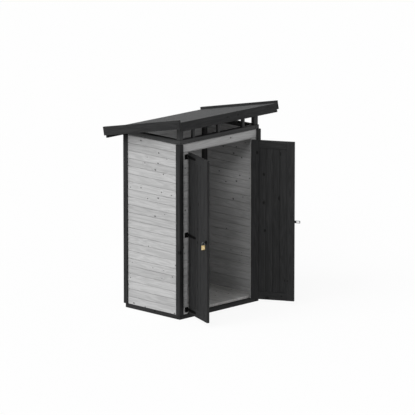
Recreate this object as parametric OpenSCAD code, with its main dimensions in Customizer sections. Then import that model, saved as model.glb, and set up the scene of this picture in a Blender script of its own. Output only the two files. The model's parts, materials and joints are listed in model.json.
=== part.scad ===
// Small timber tool shed with a pent roof, a ventilation gap under the roof and two doors.
// X runs along the front, Y towards the back and Z up. The origin is on the ground,
// at the middle of the footprint.

/* [Body] */
// Width over the corner trims
body_w = 1240; // [900:10:2400]
// Depth over the corner trims
body_d = 852; // [600:10:1800]
// Height of the ground frame
base_h = 48; // [40:1:120]
// Height from the ground to the top of the wall boards
wall_top = 1904; // [1500:1:2300]
// Thickness of the wall boards
wall_t = 16; // [12:1:28]
// Width of the ground frame's beams
beam_w = 45; // [36:1:80]
// Thickness of the floor boards
floor_t = 28; // [15:1:40]

/* [Trims and frame] */
// Width of each face of a corner trim
trim_w = 58; // [40:1:100]
// Thickness of the corner trims
trim_t = 15; // [10:1:25]
// Side of the square corner posts
post_s = 45; // [36:1:45]
// Width of the posts beside the doorway
door_post_w = 28; // [24:1:32]
// Depth of the posts beside the doorway
door_post_d = 28; // [20:1:45]
// Step of those posts back from the doorway's edges
door_post_set = 27; // [12:1:29]
// Height of the rails that lie on the walls
rail_h = 46; // [36:1:80]
// Width of the rails that lie on the walls
rail_w = 61; // [50:1:100]

/* [Ventilation gap] */
// Width of the roof posts at the front corners
roof_post_w = 58; // [40:1:100]
// Depth of the roof posts at the front corners
roof_post_d = 45; // [36:1:80]
// Step of the roof posts behind the face of the rails
roof_post_inset = 8; // [0:1:20]
// Side of the square studs in the gap
stud_s = 32; // [18:1:45]
// From the side of the body to the middle of an outer stud
stud_x = 242; // [160:1:400]
// Height of the header above the gap
header_h = 40; // [30:1:80]

/* [Roof] */
// Pitch of the roof, falling to the back
pitch = 11.6; // [5:0.1:20]
// Overhang past the trims at the front, on plan
over_front = 124; // [60:1:250]
// Overhang past the trims at the back, on plan
over_back = 168; // [60:1:250]
// Overhang past the trims at each side
over_side = 134.5; // [60:0.5:250]
// Depth of the rafters
rafter_h = 45; // [36:1:90]
// Width of the rafters
rafter_w = 45; // [36:1:80]
// Depth of the notches by which the rafters sit over the header
header_notch = 15; // [8:1:25]
// Depth of the notches over the back rail, at the wall's outer face
back_notch = 27.5; // [8:0.5:35]
// Thickness of the roof boards
deck_t = 18; // [15:1:25]
// Thickness of the felt
felt_t = 4; // [2:1:8]
// Height of the fascias and barge boards
fascia_h = 95; // [70:1:150]
// Thickness of the fascias and barge boards
fascia_t = 28; // [18:1:40]
// Height of the barge boards above the felt
barge_rise = 25; // [0:1:50]

/* [Doors] */
// From the side of the body to the doorway
jamb_x = 131; // [125:1:300]
// Height of the board above the doorway
lintel_h = 93; // [80:1:200]
// Thickness of the door frames
leaf_t = 28; // [20:1:45]
// Gap between a door and what is round it
door_gap = 5; // [5:0.5:8]
// Gap between the two closed doors
meeting_gap = 7; // [7:0.5:10]
// Width of the door stiles
stile_w = 87; // [60:1:120]
// Height of the top and bottom rails of the doors
door_rail_h = 85; // [60:1:120]
// Thickness of the door panels
panel_t = 18; // [10:1:20]
// Step of the door panels behind the outer face of the frame
panel_inset = 2; // [0:1:6]
// Angle of the left door from closed, as shown
left_open = 111; // [0:1:160]
// Angle of the right door from closed, as shown
right_open = 119; // [0:1:160]

/* [Hinges] */
// Diameter of the hinge barrels
barrel_d = 10; // [8:1:16]
// Diameter of the hinge pins
pin_d = 5; // [4:0.5:8]
// Height of the hinge plates on the posts
plate_h = 55; // [40:1:80]
// Width of the hinge plates on the posts
plate_w = 42; // [30:1:48]
// Thickness of the hinge plates and straps
strap_t = 3; // [2:0.5:5]
// Length of the straps on the doors
strap_l = 190; // [120:1:400]
// Height of the straps
strap_h = 34; // [20:1:45]
// Height of the middle of the middle hinges above the ground
hinge_mid_z = 912; // [500:1:1300]

/* [Lock] */
// Height of the hasp's middle above the ground
hasp_z = 925; // [600:1:1300]
// Length of the hasp past the edge of the right door
hasp_reach = 58; // [50:1:80]
// Length of the hasp's base on the right door
hasp_base = 60; // [40:1:100]
// Height of the hasp
hasp_h = 28; // [20:1:40]
// Length of the slot in the hasp
slot_l = 34; // [28:1:50]
// Height of the slot in the hasp
slot_h = 15; // [12:1:24]
// Metal between the slot and the hasp's end
hasp_rim = 8; // [5:1:12]
// Clear space between the hasp and the staple's plate, and between it and the shackle
hasp_gap = 5; // [3:0.5:8]
// Width of the staple's plate
staple_plate_w = 42; // [30:1:60]
// Height of the staple's plate
staple_plate_h = 38; // [30:1:60]
// Thickness of the staple's plate
staple_plate_t = 2.5; // [1.5:0.5:4]
// Diameter of the staple's wire
staple_wire = 5; // [4:0.5:6]
// Width of the staple over the wire
staple_w = 24; // [20:1:30]
// Width of the padlock's body, square to the door
padlock_w = 40; // [24:1:50]
// Height of the padlock's body
padlock_h = 50; // [30:1:60]
// Thickness of the padlock's body
padlock_t = 15; // [10:1:25]
// Diameter of the shackle's wire
shackle_wire = 5; // [4:0.5:8]
// Clear height inside the shackle
shackle_h = 30; // [24:1:50]

/* [Hidden] */
$fn = 48;

// Colours
light_grey = "#a9abad";
anthracite = "#3a3c3e";
shade_grey = "#8a8c8e";
black = "#141414";
brass = "#b8923f";
steel = "#9a9da0";

// Half sizes over the trims, and over the wall boards
half_w = body_w / 2;
half_d = body_d / 2;
face_x = half_w - trim_t;
face_y = half_d - trim_t;
inner_x = face_x - wall_t;
inner_y = face_y - wall_t;

// Levels
floor_top = base_h + floor_t;
rail_top = wall_top + rail_h;

// Doorway
open_x = half_w - jamb_x;
open_top = wall_top - lintel_h;
leaf_w = (2 * open_x - 2 * door_gap - meeting_gap) / 2;
leaf_bottom = base_h + door_gap;
leaf_h = open_top - door_gap - leaf_bottom;
sill_y = face_y - leaf_t - door_gap;
hinge_x = open_x - door_gap / 2;
hinge_y = face_y + barrel_d / 2;
hinge_zs = [
    leaf_bottom + door_rail_h / 2,
    hinge_mid_z,
    leaf_bottom + leaf_h - door_rail_h / 2,
];

// Roof, in a frame that starts on the felt at the front edge and runs down the slope
roof_w = body_w + 2 * over_side;
roof_run = body_d + over_front + over_back;
slope_l = roof_run / cos(pitch);
roof_under = felt_t + deck_t;
seat_y = face_y - roof_post_inset;
// The roof rests on the back rail, and the header above the ventilation gap meets it at the front
header_top = rail_top - back_notch + header_notch + (face_y + seat_y - roof_post_d / 2) * tan(pitch);
vent_top = header_top - header_h;
felt_front_z = rail_top - back_notch + (rafter_h + roof_under) / cos(pitch)
    + (over_front + half_d + face_y) * tan(pitch);

// Hinge knuckles
knuckle_h = plate_h / 3;
knuckle_gap = 0.5;
pin_gap = 0.1;
// Space between hanging pieces
seat_gap = 0.3;

// Lock, measured from the hinge line of a closed door and from its outer face
leaf_end = door_gap / 2 + leaf_w;
slot_end = hasp_reach - hasp_rim;
staple_x = leaf_end + meeting_gap - (slot_end - slot_l / 2);
staple_r = (staple_w - staple_wire) / 2;
hasp_lift = staple_plate_t + hasp_gap;
shackle_r = padlock_w / 2 - shackle_wire;
crown_y = hasp_lift + strap_t + hasp_gap + shackle_r + shackle_wire / 2;
bow_z = hasp_z + staple_wire / 2 + seat_gap - (shackle_r - shackle_wire / 2);
padlock_top = bow_z + shackle_r - shackle_wire / 2 - shackle_h;

// Puts a child in the roof's frame.
module on_roof() {
    translate([0, -(half_d + over_front), felt_front_z]) rotate([-pitch, 0, 0]) children();
}

// A box from its lowest corner to its highest corner.
module box(low, high) {
    translate(low) cube([high[0] - low[0], high[1] - low[1], high[2] - low[2]]);
}

// A box mirrored to the right where side is 1, and as given, on the left, where side is -1.
module at_side(side) {
    if (side > 0) mirror([1, 0, 0]) children();
    else children();
}

/* Ground frame and floor */

module plinth_side(side) {
    color(anthracite) at_side(side)
        box([-face_x, -face_y, 0], [-face_x + beam_w, face_y, base_h]);
}

module plinth_end(y) {
    color(anthracite)
        box([-face_x + beam_w, y, 0], [face_x - beam_w, y + beam_w, base_h]);
}

module plinth_front() { plinth_end(-face_y); }
module plinth_back() { plinth_end(face_y - beam_w); }
module plinth_left() { plinth_side(-1); }
module plinth_right() { plinth_side(1); }

module floor_bearer() {
    color(light_grey)
        box([-face_x + beam_w, -beam_w / 2, 0], [face_x - beam_w, beam_w / 2, base_h]);
}

module floor() {
    color(light_grey) difference() {
        box([-inner_x, -sill_y, base_h], [inner_x, inner_y, floor_top]);
        corner_posts();
        door_posts();
    }
}

/* Walls */

module side_wall(side) {
    color(light_grey) at_side(side)
        box([-face_x, -face_y, base_h], [-inner_x, face_y, wall_top]);
}

module left_wall() { side_wall(-1); }
module right_wall() { side_wall(1); }

module back_wall() {
    color(light_grey) box([-inner_x, inner_y, base_h], [inner_x, face_y, wall_top]);
}

module front_strip(side) {
    color(light_grey) at_side(side)
        box([-inner_x, -face_y, base_h], [-open_x, -inner_y, open_top]);
}

module front_wall_left() { front_strip(-1); }
module front_wall_right() { front_strip(1); }

module front_lintel() {
    color(light_grey) box([-inner_x, -face_y, open_top], [inner_x, -inner_y, wall_top]);
}

/* Posts, trims and rails */

module corner_posts() {
    color(shade_grey)
        for (side = [-1, 1], y = [-inner_y, inner_y - post_s])
            at_side(side)
                box([-inner_x, y, base_h], [-inner_x + post_s, y + post_s, wall_top]);
}

module door_posts() {
    color(light_grey)
        for (side = [-1, 1])
            at_side(side)
                box([-open_x - door_post_set - door_post_w, -inner_y, base_h],
                    [-open_x - door_post_set, -inner_y + door_post_d, open_top]);
}

module door_header() {
    color(light_grey)
        box([-inner_x + post_s, -inner_y, open_top], [inner_x - post_s, -inner_y + door_post_d, wall_top]);
}

module corner_trim(side_x, side_y) {
    color(anthracite) at_side(side_x) mirror([0, side_y > 0 ? 1 : 0, 0])
        translate([0, 0, base_h]) linear_extrude(wall_top - base_h) polygon([
            [-half_w, -half_d],
            [-half_w + trim_w, -half_d],
            [-half_w + trim_w, -face_y],
            [-face_x, -face_y],
            [-face_x, -half_d + trim_w],
            [-half_w, -half_d + trim_w],
        ]);
}

module trim_front_left() { corner_trim(-1, -1); }
module trim_front_right() { corner_trim(1, -1); }
module trim_back_left() { corner_trim(-1, 1); }
module trim_back_right() { corner_trim(1, 1); }

module rail_side(side) {
    color(shade_grey) at_side(side)
        box([-face_x, -face_y, wall_top], [-face_x + rail_w, face_y, rail_top]);
}

module rail_end(y) {
    color(shade_grey)
        box([-face_x + rail_w, y, wall_top], [face_x - rail_w, y + rail_w, rail_top]);
}

module rail_front() { rail_end(-face_y); }
module rail_back() { rail_end(face_y - rail_w); }
module rail_left() { rail_side(-1); }
module rail_right() { rail_side(1); }

/* Ventilation gap */

module roof_posts() {
    x0 = -face_x + roof_post_inset;
    color(shade_grey)
        for (side = [-1, 1])
            at_side(side)
                box([x0, -seat_y, rail_top], [x0 + roof_post_w, -seat_y + roof_post_d, vent_top]);
}

module vent_studs() {
    color(shade_grey)
        for (x = [-half_w + stud_x, 0, half_w - stud_x])
            box([x - stud_s / 2, -seat_y, rail_top], [x + stud_s / 2, -seat_y + stud_s, vent_top]);
}

module vent_header_box() {
    x0 = face_x - roof_post_inset;
    box([-x0, -seat_y, vent_top], [x0, -seat_y + roof_post_d, header_top]);
}

module vent_header() { color(shade_grey) vent_header_box(); }

/* Roof */

module rafters() {
    x0 = face_x - roof_post_inset - rafter_w;
    color(shade_grey) difference() {
        on_roof()
            for (x = [-x0 - rafter_w, -rafter_w / 2, x0])
                box([x, fascia_t, -roof_under - rafter_h], [x + rafter_w, slope_l - fascia_t, -roof_under]);
        vent_header_box();
        rail_left();
        rail_right();
        rail_back();
    }
}

module roof_deck() {
    x0 = roof_w / 2 - fascia_t;
    color(shade_grey) on_roof()
        box([-x0, fascia_t, -roof_under], [x0, slope_l - fascia_t, -felt_t]);
}

module roof_felt() {
    x0 = roof_w / 2 - fascia_t;
    color("#4a4b4c") on_roof() box([-x0, 0, -felt_t], [x0, slope_l, 0]);
}

module fascia(y) {
    x0 = roof_w / 2 - fascia_t;
    color(anthracite) on_roof()
        box([-x0, y, -felt_t - fascia_h], [x0, y + fascia_t, -felt_t]);
}

module front_fascia() { fascia(0); }
module back_fascia() { fascia(slope_l - fascia_t); }

module barge_board(side) {
    color(anthracite) on_roof() at_side(side)
        box([-roof_w / 2, 0, barge_rise - fascia_h], [-roof_w / 2 + fascia_t, slope_l, barge_rise]);
}

module left_barge_board() { barge_board(-1); }
module right_barge_board() { barge_board(1); }

/* Doors: drawn closed, as the left door, from the hinge line, with the outer face at -Y */

// Puts a closed door's pieces at their hinge and opens them.
module on_door(side) {
    angle = side < 0 ? left_open : right_open;
    at_side(side) translate([-hinge_x, -hinge_y, 0]) rotate([0, 0, -angle]) children();
}

module door_frame(side) {
    color(anthracite) on_door(side)
        translate([door_gap / 2, barrel_d / 2, leaf_bottom]) difference() {
            cube([leaf_w, leaf_t, leaf_h]);
            translate([stile_w, -1, door_rail_h])
                cube([leaf_w - 2 * stile_w, leaf_t + 2, leaf_h - 2 * door_rail_h]);
        }
}

module door_panel(side) {
    color(anthracite) on_door(side)
        translate([door_gap / 2 + stile_w, barrel_d / 2 + panel_inset, leaf_bottom + door_rail_h])
            cube([leaf_w - 2 * stile_w, panel_t, leaf_h - 2 * door_rail_h]);
}

module left_door_frame() { door_frame(-1); }
module left_door_panel() { door_panel(-1); }
module right_door_frame() { door_frame(1); }
module right_door_panel() { door_panel(1); }

/* Hinges */

module hinge_plate() {
    translate([-plate_w, barrel_d / 2 - strap_t, -plate_h / 2]) cube([plate_w, strap_t, plate_h]);
}

// The plate's own barrel ends and the pin, which passes through the strap's barrel.
module hinge_fixed() {
    difference() {
        union() {
            hinge_plate();
            translate([0, 0, -plate_h / 2]) cylinder(d = barrel_d, h = plate_h);
        }
        translate([0, 0, -knuckle_h / 2 - knuckle_gap])
            cylinder(d = barrel_d + 2, h = knuckle_h + 2 * knuckle_gap);
    }
    translate([0, 0, -plate_h / 2]) cylinder(d = pin_d, h = plate_h);
}

module hinge_plates(side) {
    color(black) at_side(side) translate([-hinge_x, -hinge_y, 0])
        for (z = hinge_zs) translate([0, 0, z]) hinge_fixed();
}

module left_hinge_plates() { hinge_plates(-1); }
module right_hinge_plates() { hinge_plates(1); }

module hinge_strap() {
    tail_r = strap_h * 0.36;
    difference() {
        union() {
            translate([0, 0, -knuckle_h / 2]) cylinder(d = barrel_d, h = knuckle_h);
            translate([0, barrel_d / 2 - strap_t, -knuckle_h / 2])
                cube([barrel_d, strap_t, knuckle_h]);
            translate([0, barrel_d / 2, 0]) rotate([90, 0, 0]) linear_extrude(strap_t) {
                polygon([
                    [barrel_d, -strap_h / 2],
                    [strap_l - tail_r, -tail_r],
                    [strap_l - tail_r, tail_r],
                    [barrel_d, strap_h / 2],
                ]);
                translate([strap_l - tail_r, 0]) circle(r = tail_r);
            }
        }
        translate([0, 0, -knuckle_h]) cylinder(d = pin_d + 2 * pin_gap, h = 2 * knuckle_h);
    }
}

module hinge_straps(side) {
    color(black) on_door(side) for (z = hinge_zs) translate([0, 0, z]) hinge_strap();
}

module left_hinge_straps() { hinge_straps(-1); }
module right_hinge_straps() { hinge_straps(1); }

/* Lock */

// Puts a child on the outer face of the closed left door, at the middle of the staple.
module at_staple(z) {
    on_door(-1) translate([staple_x, barrel_d / 2, z]) children();
}

// A plate with an arch of wire that stands out from the left door, its opening facing up.
module staple() {
    leg_l = crown_y - staple_r;
    color(black) at_staple(hasp_z) {
        translate([-staple_plate_w / 2, -staple_plate_t, -staple_plate_h / 2])
            cube([staple_plate_w, staple_plate_t, staple_plate_h]);
        for (side = [-1, 1])
            translate([side * staple_r, 0, 0]) rotate([90, 0, 0]) cylinder(d = staple_wire, h = leg_l);
        translate([0, -leg_l, 0]) rotate([0, 0, 180])
            rotate_extrude(angle = 180) translate([staple_r, 0]) circle(d = staple_wire);
    }
}

module padlock_body() {
    color(brass) at_staple(padlock_top - padlock_h)
        translate([-padlock_t / 2, -crown_y - padlock_w / 2, 0]) cube([padlock_t, padlock_w, padlock_h]);
}

// Hangs on the crown of the staple's arch, with one leg behind it and one in front.
module padlock_shackle() {
    color(steel) at_staple(bow_z) translate([0, -crown_y, 0]) rotate([0, 0, 90]) {
        for (side = [-1, 1])
            translate([side * shackle_r, 0, padlock_top - bow_z])
                cylinder(d = shackle_wire, h = bow_z - padlock_top);
        rotate([90, 0, 0])
            rotate_extrude(angle = 180) translate([shackle_r, 0]) circle(d = shackle_wire);
    }
}

// The hasp's flap and base on the outer face of the right door.
module hasp() {
    color(steel) on_door(1) translate([leaf_end, barrel_d / 2, hasp_z]) {
        difference() {
            translate([-hasp_base, -hasp_lift - strap_t, -hasp_h / 2])
                cube([hasp_base + hasp_reach, strap_t, hasp_h]);
            translate([slot_end - slot_l, -hasp_lift - strap_t - 1, -slot_h / 2])
                cube([slot_l, strap_t + 2, slot_h]);
        }
        translate([-hasp_base, -hasp_lift, -hasp_h / 2])
            cube([hasp_base, hasp_lift, hasp_h]);
    }
}

plinth_front();
plinth_back();
plinth_left();
plinth_right();
floor_bearer();
floor();
left_wall();
right_wall();
back_wall();
front_wall_left();
front_wall_right();
front_lintel();
corner_posts();
door_posts();
door_header();
trim_front_left();
trim_front_right();
trim_back_left();
trim_back_right();
rail_front();
rail_back();
rail_left();
rail_right();
roof_posts();
vent_studs();
vent_header();
rafters();
roof_deck();
roof_felt();
front_fascia();
back_fascia();
left_barge_board();
right_barge_board();
left_hinge_plates();
right_hinge_plates();
left_door_frame();
left_door_panel();
left_hinge_straps();
staple();
padlock_body();
padlock_shackle();
right_door_frame();
right_door_panel();
right_hinge_straps();
hasp();
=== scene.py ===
import json
import math

import bmesh
import bpy
from mathutils import Matrix, Vector


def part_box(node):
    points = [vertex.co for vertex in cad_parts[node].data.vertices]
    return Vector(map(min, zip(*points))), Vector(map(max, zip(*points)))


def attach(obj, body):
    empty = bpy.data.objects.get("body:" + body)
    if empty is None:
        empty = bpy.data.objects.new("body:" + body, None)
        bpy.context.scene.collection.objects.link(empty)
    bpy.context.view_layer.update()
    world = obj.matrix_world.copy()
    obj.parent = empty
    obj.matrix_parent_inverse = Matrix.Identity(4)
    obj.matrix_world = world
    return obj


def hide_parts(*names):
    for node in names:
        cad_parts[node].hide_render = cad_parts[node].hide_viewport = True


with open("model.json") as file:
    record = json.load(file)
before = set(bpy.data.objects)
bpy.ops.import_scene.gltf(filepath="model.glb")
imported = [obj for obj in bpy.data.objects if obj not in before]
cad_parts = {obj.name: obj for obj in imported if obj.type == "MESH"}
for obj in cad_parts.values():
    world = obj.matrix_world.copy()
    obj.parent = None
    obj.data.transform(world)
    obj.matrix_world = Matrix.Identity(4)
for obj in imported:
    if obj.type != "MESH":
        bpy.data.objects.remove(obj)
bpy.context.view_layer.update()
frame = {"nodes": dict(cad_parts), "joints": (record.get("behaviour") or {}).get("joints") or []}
cadNodes = frame["nodes"]
joints = {joint["child"]: joint for joint in frame["joints"]}
print("frame loaded:", len(cadNodes), "nodes")

scene = bpy.context.scene


# view, light and ground

view = {
    "azimuth": -45.446,
    "elevation": 12.693,
    "distance": 52.888,
    "target": (-0.4132, -0.6371, 1.2341),
    "lens": 432.8,
    "sensor": 36.0,
    "clip": (1.0, 400.0),
}

light = {
    "keyFrom": (-0.93, 0.15, 1.0),
    "keyPower": 1.85,
    "keySpread": math.radians(36),
    "fillFrom": (-0.80, -0.44, 0.50),
    "fillPower": 0.85,
    "fillSpread": math.radians(16),
    "sky": 0.47,
    "groundSize": 60.0,
    "groundGlow": 0.92,
    "groundColor": 0.86,
    "groundDrop": 0.0005,
}


def placeCamera():
    turn, lift = math.radians(view["azimuth"]), math.radians(view["elevation"])
    back = Vector((math.sin(turn) * math.cos(lift), -math.cos(turn) * math.cos(lift), math.sin(lift)))
    camera = bpy.data.objects.new("camera", bpy.data.cameras.new("camera"))
    camera.data.sensor_width = view["sensor"]
    camera.data.lens = view["lens"]
    camera.data.clip_start, camera.data.clip_end = view["clip"]
    camera.location = Vector(view["target"]) + back * view["distance"]
    camera.rotation_euler = back.to_track_quat("Z", "Y").to_euler()
    scene.collection.objects.link(camera)
    scene.camera = camera


placeCamera()
print("camera placed")


# shader helpers

# A socket that adds Math nodes when it is used in an expression.
class Value:
    def __init__(self, maker, socket):
        self.maker, self.socket = maker, socket

    def math(self, operation, *others):
        inputs = dict(enumerate((self,) + others))
        return self.maker.add("ShaderNodeMath", {"operation": operation}, inputs)

    def __add__(self, other):
        return self.math("ADD", other)

    __radd__ = __add__

    def __mul__(self, other):
        return self.math("MULTIPLY", other)

    __rmul__ = __mul__

    def __sub__(self, other):
        return self.math("SUBTRACT", other)

    def __rsub__(self, other):
        return self.maker.add("ShaderNodeMath", {"operation": "SUBTRACT"}, {0: other, 1: self})

    def __truediv__(self, other):
        return self.math("DIVIDE", other)

    def __getitem__(self, name):
        return Value(self.maker, self.socket.node.outputs[name])


class Maker:
    def __init__(self, tree):
        self.tree = tree

    def add(self, kind, settings=None, inputs=None, output=0):
        node = self.tree.nodes.new(kind)
        for key, value in (settings or {}).items():
            setattr(node, key, value)
        for key, value in (inputs or {}).items():
            socket = node.inputs[key]
            if isinstance(value, Value):
                self.tree.links.new(value.socket, socket)
            else:
                socket.default_value = value
        return Value(self, node.outputs[output])

    def mixColor(self, factor, first, second, blend="MIX"):
        settings = {"data_type": "RGBA", "blend_type": blend, "clamp_factor": True}
        return self.add("ShaderNodeMix", settings, {0: factor, 6: first, 7: second}, 2)

    def smooth(self, value, low, high):
        settings = {"interpolation_type": "SMOOTHSTEP"}
        return self.add("ShaderNodeMapRange", settings, {0: value, 1: low, 2: high, 3: 0.0, 4: 1.0})

    def join(self, x, y, z):
        return self.add("ShaderNodeCombineXYZ", None, {0: x, 1: y, 2: z})

    def noise(self, vector, scale, detail=3.0, rough=0.55, bend=0.0):
        inputs = {"Vector": vector, "Scale": scale, "Detail": detail, "Roughness": rough, "Distortion": bend}
        return self.add("ShaderNodeTexNoise", None, inputs)


def newMaterial(name):
    material = bpy.data.materials.new(name)
    material.use_nodes = True
    material.node_tree.nodes.clear()
    return material, Maker(material.node_tree)


def surface(maker, shaderInputs, bump=None, bumpDistance=0.001, bumpStrength=0.5):
    if bump is not None:
        inputs = {"Height": bump, "Distance": bumpDistance, "Strength": bumpStrength}
        shaderInputs["Normal"] = maker.add("ShaderNodeBump", None, inputs)
    shader = maker.add("ShaderNodeBsdfPrincipled", None, shaderInputs)
    endSurface(maker, shader)


def endSurface(maker, shader):
    output = maker.tree.nodes.new("ShaderNodeOutputMaterial")
    maker.tree.links.new(shader.socket, output.inputs["Surface"])


# timber

paintedBoards = {
    "dark": (0.335, 0.335, 0.335, 1), "light": (0.425, 0.425, 0.425, 1), "knot": (0.12, 0.12, 0.12, 1),
    "rough": 0.62, "grain": 0.8, "knots": 0.3, "knotSize": 0.075, "tone": 0.08, "gloss": 0.3,
}
insideTimber = {
    "dark": (0.27, 0.268, 0.262, 1), "light": (0.40, 0.398, 0.390, 1), "knot": (0.16, 0.15, 0.14, 1),
    "rough": 0.66, "grain": 0.6, "knots": 0.35, "knotSize": 0.06, "tone": 0.08, "gloss": 0.3,
}
floorTimber = {
    "dark": (0.439, 0.436, 0.427, 1), "light": (0.610, 0.604, 0.593, 1), "knot": (0.15, 0.14, 0.13, 1),
    "rough": 0.6, "grain": 0.8, "knots": 0.45, "knotSize": 0.07, "tone": 0.16, "gloss": 0.3,
}
darkTimber = {
    "dark": (0.012, 0.0122, 0.0125, 1), "light": (0.024, 0.0243, 0.0247, 1), "knot": (0.002, 0.002, 0.002, 1),
    "rough": 0.66, "grain": 0.6, "knots": 0.16, "knotSize": 0.12, "tone": 0.12, "gloss": 0.16,
}
# Painted shade: the posts, rails, studs, rafters and roof boards under the roof are light-painted timber, but
# this copy is nearly black so that its colour carries the shade under the roof and inside the shed.
paintedShadeTimber = {
    "dark": (0.031, 0.0315, 0.032, 1), "light": (0.054, 0.0545, 0.055, 1), "knot": (0.012, 0.012, 0.012, 1),
    "rough": 0.66, "grain": 0.6, "knots": 0.3, "knotSize": 0.06, "tone": 0.10, "gloss": 0.25,
}

# Counts to a metre along and across the grain, and what each layer adds to the colour.
timberGrain = {
    "boardShift": 3.17,
    "knotsAlong": 6.5, "knotsAcross": 10.0, "knotScatter": 0.85, "knotCore": 0.75, "knotFlow": 0.32,
    "ringsAlong": 1.1, "ringsAcross": 16.0, "ringCount": 52.0, "ringBend": 0.35,
    "fibresAlong": 14.0, "fibresAcross": 420.0,
    "patchesAlong": 2.6, "patchesAcross": 34.0,
    "ringShare": 0.45, "fibreShare": 0.4, "patchShare": 0.5,
    "bumpDistance": 0.0007, "bumpStrength": 0.55,
}


# Grain runs along one axis. Boards of one pitch are stacked along another and each has its own tone.
def timberMaterial(name, look, along, stack=None, pitch=0.0, start=0.0, turn=(0.0, 0.0, 0.0),
                   pivot=(0.0, 0.0, 0.0)):
    g = timberGrain
    material, m = newMaterial(name)
    place = m.add("ShaderNodeTexCoord", None, None, "Object")
    moved = m.add("ShaderNodeVectorMath", {"operation": "SUBTRACT"}, {0: place, 1: pivot})
    turned = m.add("ShaderNodeMapping", None, {"Vector": moved, "Rotation": turn})
    parts = m.add("ShaderNodeSeparateXYZ", None, {0: turned})
    axes = [parts["X"], parts["Y"], parts["Z"]]
    run = axes["XYZ".index(along)]
    crossing = [axis for letter, axis in zip("XYZ", axes) if letter != along]
    across = axes["XYZ".index(stack)] if stack else crossing[0] + crossing[1]
    if pitch:
        board = ((across - start) / pitch).math("FLOOR")
        chance = m.add("ShaderNodeTexWhiteNoise", {"noise_dimensions": "1D"}, {"W": board})
        shift = board * g["boardShift"]
    else:
        broad = m.join(crossing[0] * 9.0, crossing[1] * 9.0, run * 0.4)
        chance = m.noise(broad, 1.0, 1.0)
        shift = 0.0
    # knots: a few rounds in the plane of the board, with the grain flowing round them
    plane = m.join(run * g["knotsAlong"] + shift, across * g["knotsAcross"], 0.0)
    cell = m.add("ShaderNodeTexVoronoi", {"voronoi_dimensions": "2D"},
                 {"Vector": plane, "Scale": 1.0, "Randomness": g["knotScatter"]})
    chosen = m.add("ShaderNodeSeparateColor", None, {0: cell["Color"]})
    pick = m.smooth(chosen["Red"], 1.0 - look["knots"], 1.0 - look["knots"] + 0.05)
    size = (chosen["Green"] * 0.8 + 0.6) * look["knotSize"]
    knot = pick * (1 - m.smooth(cell["Distance"], size * g["knotCore"], size))
    flow = pick * (1 - m.smooth(cell["Distance"], 0.02, g["knotFlow"]))
    # growth rings and fine fibres
    bent = flow * g["ringBend"]
    ringSides = [axis * g["ringsAcross"] + bent for axis in crossing]
    ringPlace = m.join(run * g["ringsAlong"] + shift, *ringSides)
    rings = m.noise(ringPlace, 1.0, 3.0, 0.5, 0.3)
    lines = (rings * g["ringCount"] + flow * 6.0).math("SINE") * 0.5 + 0.5
    fibreAcross = g["fibresAcross"]
    fibrePlace = m.join(run * g["fibresAlong"], crossing[0] * fibreAcross, crossing[1] * fibreAcross)
    fibres = m.noise(fibrePlace, 1.0, 4.0, 0.6)
    patchPlace = m.join(run * g["patchesAlong"] + shift, across * g["patchesAcross"], shift)
    patches = m.noise(patchPlace, 1.0, 2.0)
    grain = lines * (g["ringShare"] * look["grain"]) + fibres * g["fibreShare"] + patches * g["patchShare"]
    mixed = m.mixColor(m.smooth(grain, 0.3, 0.95), look["dark"], look["light"])
    withKnots = m.mixColor(knot, mixed, look["knot"])
    low, high = 1 - look["tone"], 1 + look["tone"]
    toneLevel = m.add("ShaderNodeMapRange", None, {0: chance, 1: 0.0, 2: 1.0, 3: low, 4: high})
    tone = m.add("ShaderNodeCombineColor", None, {0: toneLevel, 1: toneLevel, 2: toneLevel})
    color = m.mixColor(1.0, withKnots, tone, "MULTIPLY")
    rough = fibres * 0.16 + (look["rough"] - 0.08)
    height = lines * 0.35 + fibres * 0.65 - knot * 0.3
    inputs = {"Base Color": color, "Roughness": rough, "Specular IOR Level": look["gloss"]}
    surface(m, inputs, height, g["bumpDistance"], g["bumpStrength"])
    return material


# other finishes

metalLooks = {
    "hingeBlack": {"color": (0.002, 0.002, 0.002, 1), "spot": (0.005, 0.005, 0.005, 1),
                   "metal": 0.0, "rough": 0.75, "gloss": 0.05},
    "lockBrass": {"color": (0.52, 0.36, 0.12, 1), "spot": (0.82, 0.70, 0.46, 1),
                  "metal": 0.9, "rough": 0.3, "gloss": 0.5},
    "haspSteel": {"color": (0.022, 0.0225, 0.023, 1), "spot": (0.05, 0.051, 0.052, 1),
                  "metal": 0.35, "rough": 0.5, "gloss": 0.5},
    "zincSteel": {"color": (0.11, 0.112, 0.115, 1), "spot": (0.20, 0.202, 0.206, 1),
                  "metal": 0.7, "rough": 0.45, "gloss": 0.5},
}


def metalMaterial(name):
    look = metalLooks[name]
    material, m = newMaterial(name)
    place = m.add("ShaderNodeTexCoord", None, None, "Object")
    spangle = m.add("ShaderNodeTexVoronoi", None, {"Vector": place, "Scale": 260.0})
    chosen = m.add("ShaderNodeSeparateColor", None, {0: spangle["Color"]})
    specks = m.noise(place, 900.0, 3.0)
    wear = m.noise(place, 60.0, 4.0, 0.6)
    share = chosen["Red"] * 0.5 + m.smooth(wear, 0.42, 0.7) * 0.6
    color = m.mixColor(share, look["color"], look["spot"])
    rough = wear * 0.2 + (look["rough"] - 0.1)
    inputs = {"Base Color": color, "Roughness": rough, "Metallic": look["metal"],
              "Specular IOR Level": look["gloss"]}
    surface(m, inputs, specks, 0.0002, 0.4)
    return material


feltLook = {"color": (0.017, 0.0174, 0.018, 1), "granule": (0.050, 0.051, 0.052, 1),
            "granuleScale": 620.0, "patchScale": 5.0}


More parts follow.
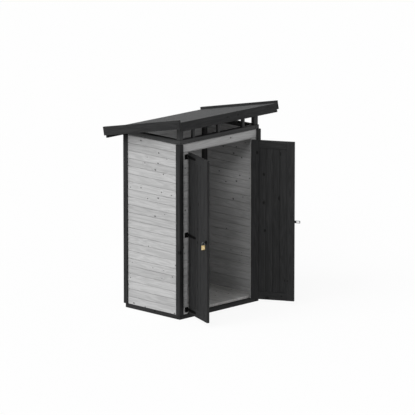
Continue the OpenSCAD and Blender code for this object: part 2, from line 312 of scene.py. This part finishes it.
def feltMaterial():
    material, m = newMaterial("mineralFelt")
    place = m.add("ShaderNodeTexCoord", None, None, "Object")
    granules = m.add("ShaderNodeTexVoronoi", None, {"Vector": place, "Scale": feltLook["granuleScale"]})
    chosen = m.add("ShaderNodeSeparateColor", None, {0: granules["Color"]})
    patches = m.noise(place, feltLook["patchScale"], 5.0, 0.6)
    share = chosen["Red"] * 0.6 + patches * 0.5
    color = m.mixColor(share, feltLook["color"], feltLook["granule"])
    height = 1 - granules["Distance"]
    surface(m, {"Base Color": color, "Roughness": chosen["Green"] * 0.1 + 0.82}, height, 0.0009, 0.8)
    return material


# mesh helpers

meshing = {"weld": 2e-5, "flatAngle": math.radians(0.5), "bevelAngle": math.radians(35)}


def smoothMesh(mesh, angle=32.0):
    mesh.shade_smooth()
    mesh.set_sharp_from_angle(angle=math.radians(angle))


def newPiece(name, bm, material=None):
    mesh = bpy.data.meshes.new(name)
    bm.to_mesh(mesh)
    bm.free()
    piece = bpy.data.objects.new(name, mesh)
    scene.collection.objects.link(piece)
    if material:
        mesh.materials.append(material)
    return piece


def settle(piece, body, slot, *nodes):
    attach(piece, body)
    if nodes:
        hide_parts(*nodes)
    return piece


# The piece with its modifiers made part of its mesh.
def flatten(piece):
    depsgraph = bpy.context.evaluated_depsgraph_get()
    mesh = bpy.data.meshes.new_from_object(piece.evaluated_get(depsgraph))
    piece.modifiers.clear()
    old, piece.data = piece.data, mesh
    mesh.name = old.name
    bpy.data.meshes.remove(old)
    return piece


def addBevel(piece, width, segments=2):
    bevel = piece.modifiers.new("edges", "BEVEL")
    bevel.width = width
    bevel.segments = segments
    bevel.limit_method = "ANGLE"
    bevel.angle_limit = meshing["bevelAngle"]
    bevel.use_clamp_overlap = True
    return flatten(piece)


# A copy of a CAD node as clean faces, with its edges eased as a plane or sandpaper leaves them.
def easedCopy(name, node, material, width, segments=2):
    bm = bmesh.new()
    bm.from_mesh(cadNodes[node].data)
    bmesh.ops.remove_doubles(bm, verts=bm.verts, dist=meshing["weld"])
    bmesh.ops.dissolve_limit(bm, angle_limit=meshing["flatAngle"], verts=bm.verts, edges=bm.edges)
    piece = newPiece(name, bm, material)
    for polygon in piece.data.polygons:
        polygon.material_index = 0
    addBevel(piece, width, segments)
    smoothMesh(piece.data)
    return piece


# A board along axis run, its faces square to axis thick, its long edges eased. A slot is a width and a
# depth: the high edge is cut back by it on both faces, so that a row of boards shows its joints.
def addBoard(bm, low, high, run, thick, ease, matrix=None, slot=None):
    wide = 3 - run - thick
    a, b, c, d = low[wide], high[wide], low[thick], high[thick]
    outline = [(a + ease, c), (b - ease, c), (b, c + ease), (b, d - ease),
               (b - ease, d), (a + ease, d), (a, d - ease), (a, c + ease)]
    if slot:
        gap, deep = slot
        lip = b - gap
        outline = [(a + ease, c), (lip - ease, c), (lip, c + ease), (lip, c + deep), (b, c + deep),
                   (b, d - deep), (lip, d - deep), (lip, d - ease), (lip - ease, d), (a + ease, d),
                   (a, d - ease), (a, c + ease)]
    rings = []
    for end in (low[run], high[run]):
        ring = []
        for w, t in outline:
            point = Vector((0, 0, 0))
            point[run], point[wide], point[thick] = end, w, t
            ring.append(bm.verts.new(matrix @ point if matrix else point))
        rings.append(ring)
    bm.faces.new(rings[0])
    bm.faces.new(list(reversed(rings[1])))
    for i in range(len(outline)):
        j = (i + 1) % len(outline)
        bm.faces.new((rings[0][j], rings[0][i], rings[1][i], rings[1][j]))


def fixNormals(bm):
    bmesh.ops.recalc_face_normals(bm, faces=bm.faces)


# A CAD node's lowest and highest corner in the frame that a matrix makes.
def boxIn(node, matrix):
    back = matrix.inverted()
    points = [back @ vertex.co for vertex in cadNodes[node].data.vertices]
    low = Vector([min(point[i] for point in points) for i in range(3)])
    high = Vector([max(point[i] for point in points) for i in range(3)])
    return low, high


# One board repeated by a step, as one piece.
def boardPiece(name, low, high, run, thick, ease, slot, matrix, count, step, material):
    bm = bmesh.new()
    addBoard(bm, low, high, run, thick, ease, matrix, slot)
    values = {"Count": count, "Step": tuple(step), "Material": material}
    piece = runGroup(newPiece(name, bm), rowGroup, values)
    bm = bmesh.new()
    bm.from_mesh(piece.data)
    fixNormals(bm)
    bm.to_mesh(piece.data)
    bm.free()
    return piece


# Geometry Nodes

def newGroup(name, inputs):
    group = bpy.data.node_groups.new(name, "GeometryNodeTree")
    group.interface.new_socket("Geometry", in_out="INPUT", socket_type="NodeSocketGeometry")
    for label, kind in inputs:
        group.interface.new_socket(label, in_out="INPUT", socket_type=kind)
    group.interface.new_socket("Geometry", in_out="OUTPUT", socket_type="NodeSocketGeometry")
    m = Maker(group)
    source = m.add("NodeGroupInput")
    return group, m, source


def endGroup(m, geometry, material):
    real = m.add("GeometryNodeRealizeInstances", None, {0: geometry})
    coated = m.add("GeometryNodeSetMaterial", None, {"Geometry": real, "Material": material})
    output = m.tree.nodes.new("NodeGroupOutput")
    m.tree.links.new(coated.socket, output.inputs[0])


def runGroup(piece, group, values):
    modifier = piece.modifiers.new("repeat", "NODES")
    modifier.node_group = group
    for item in group.interface.items_tree:
        if item.in_out == "INPUT" and item.name in values:
            modifier[item.identifier] = values[item.name]
    return flatten(piece)


def boardRow():
    group, m, source = newGroup("boardRow", [
        ("Count", "NodeSocketInt"), ("Step", "NodeSocketVector"), ("Material", "NodeSocketMaterial")])
    places = {"Count": source["Count"], "Offset": source["Step"]}
    line = m.add("GeometryNodeMeshLine", {"mode": "OFFSET"}, places)
    copies = m.add("GeometryNodeInstanceOnPoints", None, {"Points": line, "Instance": source["Geometry"]})
    endGroup(m, copies, source["Material"])
    return group


def headsOnPoints():
    group, m, source = newGroup("headsOnPoints", [
        ("Head", "NodeSocketObject"), ("Seed", "NodeSocketInt"), ("Material", "NodeSocketMaterial")])
    head = m.add("GeometryNodeObjectInfo", None, {"Object": source["Head"]}, "Geometry")
    facing = m.add("GeometryNodeInputNamedAttribute", {"data_type": "FLOAT_VECTOR"}, {"Name": "facing"})
    turned = m.add("FunctionNodeAlignRotationToVector", {"axis": "Z"}, {"Vector": facing})
    spin = m.add("FunctionNodeRandomValue", {"data_type": "FLOAT"},
                 {"Min": 0.0, "Max": 3.14, "Seed": source["Seed"]}, 1)
    local = m.add("FunctionNodeAxisAngleToRotation", None, {"Angle": spin})
    both = m.add("FunctionNodeRotateRotation", {"rotation_space": "LOCAL"}, {0: turned, 1: local})
    placed = {"Points": source["Geometry"], "Instance": head, "Rotation": both}
    copies = m.add("GeometryNodeInstanceOnPoints", None, placed)
    endGroup(m, copies, source["Material"])
    return group


rowGroup = boardRow()
headGroup = headsOnPoints()


# finishes by piece

# The roof's own frame starts on the felt at the front edge, and its Y runs down the slope.
feltMesh = cadNodes["roof_felt"].data
upFacing = max(feltMesh.polygons, key=lambda polygon: polygon.normal.z)
slope = math.atan2(upFacing.normal.y, upFacing.normal.z)
ridge = max((vertex.co for vertex in feltMesh.vertices), key=lambda point: point.z)
roofFrame = Matrix.Translation((0, ridge.y, ridge.z)) @ Matrix.Rotation(-slope, 4, "X")
wall = {"pitch": 0.08436, "ease": 0.0015, "slot": (0.005, 0.0055)}
toneWidth = {"floor": 0.0906, "roof": 0.096}  # how wide a strip of one tone is
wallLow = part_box("left_wall")[0]
groundTop = wallLow.z
roofTurn = (slope, 0.0, 0.0)

finish = {
    "wallX": timberMaterial("wallBoardsX", paintedBoards, "X", "Z", wall["pitch"], groundTop),
    "wallY": timberMaterial("wallBoardsY", paintedBoards, "Y", "Z", wall["pitch"], groundTop),
    "floor": timberMaterial("floorBoards", floorTimber, "Y", "X", toneWidth["floor"], wallLow.x),
    "postZ": timberMaterial("plainPosts", insideTimber, "Z"),
    "plainX": timberMaterial("plainRails", insideTimber, "X"),
    # Rails, posts, studs, rafters and roof boards take the painted-shade timber: their dark colour stands for
    # the shade under the roof.
    "shadeX": timberMaterial("shadeRailsX", paintedShadeTimber, "X"),
    "shadeY": timberMaterial("shadeRailsY", paintedShadeTimber, "Y"),
    "shadeZ": timberMaterial("shadePosts", paintedShadeTimber, "Z"),
    "roofX": timberMaterial("roofBoards", paintedShadeTimber, "X", "Y", toneWidth["roof"], 0.0, roofTurn),
    "roofY": timberMaterial("roofRafters", paintedShadeTimber, "Y", None, 0.0, 0.0, roofTurn),
    "darkX": timberMaterial("darkFascias", darkTimber, "X", None, 0.0, 0.0, roofTurn),
    "darkY": timberMaterial("darkBarges", darkTimber, "Y", None, 0.0, 0.0, roofTurn),
    "darkZ": timberMaterial("darkTrims", darkTimber, "Z"),
    "groundX": timberMaterial("groundBeamsX", darkTimber, "X"),
    "groundY": timberMaterial("groundBeamsY", darkTimber, "Y"),
    "felt": feltMaterial(),
    "black": metalMaterial("hingeBlack"),
    "brass": metalMaterial("lockBrass"),
    "steel": metalMaterial("zincSteel"),
    "haspSteel": metalMaterial("haspSteel"),
}
print("materials made:", len(finish))


# walls

# Horizontal boards in the space of a CAD slab: whole ones repeated, and cut ones at its ends.
def wallPiece(name, node, run, material):
    low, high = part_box(node)
    thick = 1 - run
    pitch = wall["pitch"]
    first = round((low.z - groundTop) / pitch)
    bm = bmesh.new()
    if low.z - (groundTop + first * pitch) > 1e-4:
        first += 1
    start = groundTop + first * pitch
    if start - low.z > 1e-4:
        addBoard(bm, low, Vector((high.x, high.y, start)), run, thick, wall["ease"], None, wall["slot"])
    count = int((high.z - start) / pitch + 1e-3)
    top = start + count * pitch
    if high.z - top > 1e-4:
        addBoard(bm, Vector((low.x, low.y, top)), high, run, thick, wall["ease"])
    whole = bmesh.new()
    addBoard(whole, Vector((low.x, low.y, start)), Vector((high.x, high.y, start + pitch)), run, thick,
             wall["ease"], None, wall["slot"])
    values = {"Count": count, "Step": (0, 0, pitch), "Material": material}
    row = runGroup(newPiece(name + "Whole", whole), rowGroup, values)
    bm.from_mesh(row.data)
    bpy.data.objects.remove(row)
    fixNormals(bm)
    piece = newPiece(name, bm, material)
    return settle(piece, "shed", "light_boards", node)


wallPieces = [
    ("leftWallBoards", "left_wall", 1, "wallY"),
    ("rightWallBoards", "right_wall", 1, "wallY"),
    ("backWallBoards", "back_wall", 0, "wallX"),
    ("frontBoardsLeft", "front_wall_left", 0, "wallX"),
    ("frontBoardsRight", "front_wall_right", 0, "wallX"),
    ("lintelBoards", "front_lintel", 0, "wallX"),
]
for name, node, run, finishName in wallPieces:
    wallPiece(name, node, run, finish[finishName])
print("walls built")


# floor

floor = {"boards": 13, "ease": 0.0015, "slot": (0.002, 0.004)}


def floorPiece():
    low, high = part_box("floor")
    wide = (high.x - low.x) / floor["boards"]
    one = Vector((low.x + wide, high.y, high.z))
    piece = boardPiece("floorBoards", low, one, 1, 2, floor["ease"], floor["slot"], None,
                       floor["boards"], (wide, 0, 0), finish["floor"])
    return settle(piece, "shed", "floor_boards", "floor")


floorPiece()
print("floor built")


# frame, trims and roof: CAD shapes with eased edges

timberPieces = [
    ("groundBeamFront", "plinth_front", "groundX", "dark_boards", 0.002),
    ("groundBeamBack", "plinth_back", "groundX", "dark_boards", 0.002),
    ("groundBeamLeft", "plinth_left", "groundY", "dark_boards", 0.002),
    ("groundBeamRight", "plinth_right", "groundY", "dark_boards", 0.002),
    ("floorBearer", "floor_bearer", "plainX", "frame_timber", 0.002),
    ("cornerPosts", "corner_posts", "shadeZ", "frame_timber", 0.002),
    ("doorPosts", "door_posts", "postZ", "frame_timber", 0.002),
    ("doorHeader", "door_header", "plainX", "frame_timber", 0.002),
    ("trimFrontLeft", "trim_front_left", "darkZ", "dark_boards", 0.0018),
    ("trimFrontRight", "trim_front_right", "darkZ", "dark_boards", 0.0018),
    ("trimBackLeft", "trim_back_left", "darkZ", "dark_boards", 0.0018),
    ("trimBackRight", "trim_back_right", "darkZ", "dark_boards", 0.0018),
    ("railFront", "rail_front", "shadeX", "frame_timber", 0.002),
    ("railBack", "rail_back", "shadeX", "frame_timber", 0.002),
    ("railLeft", "rail_left", "shadeY", "frame_timber", 0.002),
    ("railRight", "rail_right", "shadeY", "frame_timber", 0.002),
    ("roofPosts", "roof_posts", "shadeZ", "frame_timber", 0.002),
    ("ventStuds", "vent_studs", "shadeZ", "frame_timber", 0.0015),
    ("ventHeader", "vent_header", "shadeX", "frame_timber", 0.002),
    ("roofRafters", "rafters", "roofY", "frame_timber", 0.0015),
    ("frontFascia", "front_fascia", "darkX", "dark_boards", 0.002),
    ("backFascia", "back_fascia", "darkX", "dark_boards", 0.002),
    ("leftBarge", "left_barge_board", "darkY", "dark_boards", 0.002),
    ("rightBarge", "right_barge_board", "darkY", "dark_boards", 0.002),
]
for name, node, finishName, slotName, width in timberPieces:
    settle(easedCopy(name, node, finish[finishName], width), "shed", slotName, node)
print("frame and trims built")


# roof boards and felt

roof = {"boardPitch": 0.093, "boardEase": 0.001, "slot": (0.002, 0.003), "sheets": 3, "lap": 0.08,
        "ramp": 0.035, "rise": 0.0016, "feltEase": 0.0004}


def roofBoards():
    low, high = boxIn("roof_deck", roofFrame)
    count = round((high.y - low.y) / roof["boardPitch"])
    wide = (high.y - low.y) / count
    step = roofFrame.to_3x3() @ Vector((0, wide, 0))
    one = Vector((high.x, low.y + wide, high.z))
    piece = boardPiece("roofBoards", low, one, 0, 2, roof["boardEase"], roof["slot"], roofFrame,
                       count, step, finish["roofX"])
    return settle(piece, "shed", "frame_timber", "roof_deck")


# Sheets of felt, each lapped over the next one down the slope.
def roofFelt():
    low, high = boxIn("roof_felt", roofFrame)
    plain = high.z - roof["rise"]
    top = [(low.y, plain)]
    length = (high.y - low.y) / roof["sheets"]
    for sheet in range(1, roof["sheets"]):
        end = low.y + sheet * length
        lapStart = end - roof["lap"]
        top += [(lapStart - roof["ramp"], plain), (lapStart, high.z), (end, high.z), (end, plain)]
    top.append((high.y, plain))
    outline = top + [(high.y, low.z), (low.y, low.z)]
    bm = bmesh.new()
    ends = [[bm.verts.new(roofFrame @ Vector((x, y, z))) for y, z in outline] for x in (low.x, high.x)]
    bm.faces.new(ends[0])
    bm.faces.new(list(reversed(ends[1])))
    for i in range(len(outline)):
        j = (i + 1) % len(outline)
        bm.faces.new((ends[0][j], ends[0][i], ends[1][i], ends[1][j]))
    fixNormals(bm)
    piece = addBevel(newPiece("roofFelt", bm, finish["felt"]), roof["feltEase"], 1)
    return settle(piece, "shed", "roof_felt", "roof_felt")


roofBoards()
roofFelt()
print("roof built")


# doors

door = {"stile": 0.087, "rail": 0.085, "ease": 0.002, "boardPitch": 0.0766, "boardEase": 0.0015,
        "slot": (0.005, 0.005), "hingeEase": 0.0006}


# The matrix that takes a closed door to where it stands open.
def doorTurn(body):
    joint = joints[body]
    pivot = Matrix.Translation(Vector(joint["pos_m"]))
    angle = math.radians(-joint["range_deg"][0])
    return pivot @ Matrix.Rotation(angle, 4, Vector(joint["axis"])) @ pivot.inverted()


def closedBox(node, body):
    return boxIn(node, doorTurn(body))


def buildDoor(side, body):
    turn = doorTurn(body)
    pivot = Vector(joints[body]["pos_m"])
    angle = math.radians(-joints[body]["range_deg"][0]) * joints[body]["axis"][2]
    back = (0.0, 0.0, -angle)
    upright = timberMaterial(side + "DoorUpright", darkTimber, "Z", None, 0.0, 0.0, back, pivot)
    level = timberMaterial(side + "DoorLevel", darkTimber, "X", None, 0.0, 0.0, back, pivot)
    low, high = closedBox(side + "_door_frame", body)
    panelLow, panelHigh = closedBox(side + "_door_panel", body)
    boards = timberMaterial(side + "DoorBoards", darkTimber, "Z", "X", door["boardPitch"],
                            panelLow.x - pivot.x, back, pivot)
    stile, rail = door["stile"], door["rail"]
    for label, x0, x1 in (("StileOne", low.x, low.x + stile), ("StileTwo", high.x - stile, high.x)):
        bm = bmesh.new()
        addBoard(bm, Vector((x0, low.y, low.z)), Vector((x1, high.y, high.z)), 2, 1, door["ease"], turn)
        fixNormals(bm)
        settle(newPiece(side + label, bm, upright), body, "dark_boards", side + "_door_frame")
    for label, z0, z1 in (("RailLow", low.z, low.z + rail), ("RailHigh", high.z - rail, high.z)):
        bm = bmesh.new()
        near, far = Vector((low.x + stile, low.y, z0)), Vector((high.x - stile, high.y, z1))
        addBoard(bm, near, far, 0, 1, door["ease"], turn)
        fixNormals(bm)
        settle(newPiece(side + label, bm, level), body, "dark_boards", side + "_door_frame")
    pitch = door["boardPitch"]
    count = round((panelHigh.x - panelLow.x) / pitch)
    wide = (panelHigh.x - panelLow.x) / count
    one = Vector((panelLow.x + wide, panelHigh.y, panelHigh.z))
    step = turn.to_3x3() @ Vector((wide, 0, 0))
    piece = boardPiece(side + "DoorBoards", panelLow, one, 2, 1, door["boardEase"], door["slot"], turn,
                       count, step, boards)
    settle(piece, body, "dark_boards", side + "_door_panel")
    straps = easedCopy(side + "HingeStraps", side + "_hinge_straps", finish["black"], door["hingeEase"])
    settle(straps, body, "black_hardware", side + "_hinge_straps")
    plates = easedCopy(side + "HingePlates", side + "_hinge_plates", finish["black"], door["hingeEase"])
    settle(plates, "shed", "black_hardware", side + "_hinge_plates")


buildDoor("left", "left_door")
buildDoor("right", "right_door")
print("doors built")


# lock

lockPieces = [
    ("staplePlate", "staple", "black", "left_door", "black_hardware", 0.0005, 2),
    ("padlockBody", "padlock_body", "brass", "left_door", "brass", 0.0055, 4),
    ("padlockShackle", "padlock_shackle", "steel", "left_door", "bright_steel", 0.0003, 2),
    ("slottedHasp", "hasp", "haspSteel", "right_door", "bright_steel", 0.0006, 2),
]
for name, node, finishName, body, slotName, width, segments in lockPieces:
    settle(easedCopy(name, node, finish[finishName], width, segments), body, slotName, node)
print("lock built")


# screws

screw = {"radius": 0.0032, "height": 0.0012, "sides": 12, "crossWidth": 0.16, "crossLevel": 0.35, "seed": 7}
trimScrew = {"step": 0.31, "fromEnd": 0.06, "fromMiddle": 0.012}
nail = {"step": 0.105, "fromEave": 0.02, "fromBarge": 0.03}
hingeScrew = {"reaches": (0.03, 0.085, 0.14, 0.175), "strapHalf": 0.017, "middleDrop": 0.016,
              "plateReach": 0.028, "plateLifts": (-0.017, 0.017), "proud": 0.003}


# A domed head with a cross cut in it, standing on the origin.
def screwHead():
    bm = bmesh.new()
    radius, height, sides = screw["radius"], screw["height"], screw["sides"]
    rings = []
    for share, lift in ((1.0, 0.0), (0.86, 0.7), (0.5, 1.0)):
        ring = []
        for i in range(sides):
            angle = 2 * math.pi * i / sides
            out = radius * share
            ring.append(bm.verts.new((out * math.cos(angle), out * math.sin(angle), height * lift)))
        rings.append(ring)
    for lower, upper in zip(rings, rings[1:]):
        for i in range(sides):
            j = (i + 1) % sides
            bm.faces.new((lower[i], lower[j], upper[j], upper[i]))
    cross = []
    for i in range(4):
        angle = math.pi / 4 + math.pi / 2 * i
        out, level = radius * screw["crossWidth"], height * screw["crossLevel"]
        cross.append(bm.verts.new((out * math.cos(angle), out * math.sin(angle), level)))
    top = rings[-1]
    for i in range(4):
        a, b, c, d = (top[(3 * i + k) % sides] for k in range(4))
        bm.faces.new((a, b, cross[i]))
        bm.faces.new((b, c, cross[i]))
        bm.faces.new((c, d, cross[i]))
        bm.faces.new((cross[i], d, cross[(i + 1) % 4]))
    bm.faces.new(cross)
    bm.faces.new(list(reversed(rings[0])))
    fixNormals(bm)
    return newPiece("screwHead", bm)


# Screw heads at spots, each a place and the way it faces.
def screwPiece(name, spots, body, slot, material):
    mesh = bpy.data.meshes.new(name)
    mesh.from_pydata([spot for spot, facing in spots], [], [])
    facings = mesh.attributes.new("facing", "FLOAT_VECTOR", "POINT")
    for item, (spot, facing) in zip(facings.data, spots):
        item.vector = facing
    piece = bpy.data.objects.new(name, mesh)
    scene.collection.objects.link(piece)
    runGroup(piece, headGroup, {"Head": head, "Seed": screw["seed"], "Material": material})
    smoothMesh(piece.data, 50.0)
    return settle(piece, body, slot)


# Even steps of about one length, with both ends.
def steps(low, high, step):
    count = max(1, round((high - low) / step))
    return [low + (high - low) * i / count for i in range(count + 1)]


def trimScrews():
    spots = []
    sink = screw["height"] * 0.5
    for node in ("trim_front_left", "trim_front_right", "trim_back_left", "trim_back_right"):
        low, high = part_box(node)
        side = -1 if low.x < 0 else 1
        end = -1 if low.y < 0 else 1
        outerX, outerY = (low.x if side < 0 else high.x), (low.y if end < 0 else high.y)
        middleX, middleY = (low.x + high.x) / 2, (low.y + high.y) / 2
        for z in steps(low.z + trimScrew["fromEnd"], high.z - trimScrew["fromEnd"], trimScrew["step"]):
            spots.append(((outerX - side * sink, middleY - end * trimScrew["fromMiddle"], z), (side, 0, 0)))
            spots.append(((middleX - side * trimScrew["fromMiddle"], outerY - end * sink, z), (0, end, 0)))
    screwPiece("trimScrews", spots, "shed", "black_hardware", finish["black"])


def hardwareScrews(side, body):
    turn = doorTurn(body)
    sign = -1 if side == "left" else 1
    pivot = Vector(joints[body]["pos_m"])
    low, high = closedBox(side + "_hinge_straps", body)
    front = closedBox(side + "_door_frame", body)[0].y - hingeScrew["proud"]
    outward = Vector((0, -1, 0))
    half = hingeScrew["strapHalf"]
    onDoor, onPost = [], []
    for z in (low.z + half, pivot.z - hingeScrew["middleDrop"], high.z - half):
        for reach in hingeScrew["reaches"]:
            spot = Vector((pivot.x - sign * reach, front, z))
            onDoor.append((turn @ spot, turn.to_3x3() @ outward))
        for lift in hingeScrew["plateLifts"]:
            onPost.append((Vector((pivot.x + sign * hingeScrew["plateReach"], front, z + lift)), outward))
    screwPiece(side + "StrapScrews", onDoor, body, "black_hardware", finish["black"])
    screwPiece(side + "PlateScrews", onPost, "shed", "black_hardware", finish["black"])


# Felt nails in a row along each lap and near the front and back edge.
def feltNails():
    low, high = boxIn("roof_felt", roofFrame)
    facing = roofFrame.to_3x3() @ Vector((0, 0, 1))
    inset, plain = nail["fromEave"], high.z - roof["rise"]
    rows = [(low.y + inset, plain), (high.y - inset, plain)]
    length = (high.y - low.y) / roof["sheets"]
    rows += [(low.y + sheet * length - inset, high.z) for sheet in range(1, roof["sheets"])]
    spots = []
    for y, z in rows:
        for x in steps(low.x + nail["fromBarge"], high.x - nail["fromBarge"], nail["step"]):
            spots.append((roofFrame @ Vector((x, y, z)), facing))
    screwPiece("feltNails", spots, "shed", "bright_steel", finish["steel"])


head = screwHead()
trimScrews()
feltNails()
hardwareScrews("left", "left_door")
hardwareScrews("right", "right_door")
bpy.data.objects.remove(head)
print("screws placed")


# ground, sky and lamps

# 1 where the camera sees a thing, straight or in a reflection, and 0 where it only lights the shed.
def seenRays(m):
    path = m.add("ShaderNodeLightPath")
    direct = path["Is Camera Ray"].math("MAXIMUM", path["Is Glossy Ray"])
    return direct.math("MAXIMUM", path["Is Transmission Ray"])


def buildGround():
    half = light["groundSize"] / 2
    bm = bmesh.new()
    corners = [(-half, -half, 0), (half, -half, 0), (half, half, 0), (-half, half, 0)]
    bm.faces.new([bm.verts.new(corner) for corner in corners])
    material, m = newMaterial("paleGround")
    level = light["groundColor"]
    matte = m.add("ShaderNodeBsdfDiffuse", None, {"Color": (level, level, level, 1)})
    glow = m.add("ShaderNodeEmission", None, {"Color": (1, 1, 1, 1), "Strength": 1.0})
    share = seenRays(m) * light["groundGlow"]
    mixed = m.add("ShaderNodeMixShader", None, {0: share, 1: matte, 2: glow})
    endSurface(m, mixed)
    ground = newPiece("ground", bm, material)
    ground.location.z = -light["groundDrop"]


def buildSky():
    world = bpy.data.worlds.new("softSky")
    world.use_nodes = True
    world.node_tree.nodes.clear()
    m = Maker(world.node_tree)
    soft = m.add("ShaderNodeBackground", None, {"Color": (1, 1, 1, 1), "Strength": light["sky"]})
    white = m.add("ShaderNodeBackground", None, {"Color": (1, 1, 1, 1), "Strength": 1.0})
    mixed = m.add("ShaderNodeMixShader", None, {0: seenRays(m), 1: soft, 2: white})
    output = world.node_tree.nodes.new("ShaderNodeOutputWorld")
    world.node_tree.links.new(mixed.socket, output.inputs["Surface"])
    scene.world = world


def buildLamp(name, source, power, spread):
    lamp = bpy.data.lights.new(name, "SUN")
    lamp.energy = power
    lamp.angle = spread
    holder = bpy.data.objects.new(name, lamp)
    holder.rotation_euler = Vector(source).to_track_quat("Z", "Y").to_euler()
    scene.collection.objects.link(holder)


buildGround()
buildSky()
buildLamp("keyLamp", light["keyFrom"], light["keyPower"], light["keySpread"])
buildLamp("fillLamp", light["fillFrom"], light["fillPower"], light["fillSpread"])
scene.view_settings.view_transform = "Standard"
print("ground, sky and lamps placed")
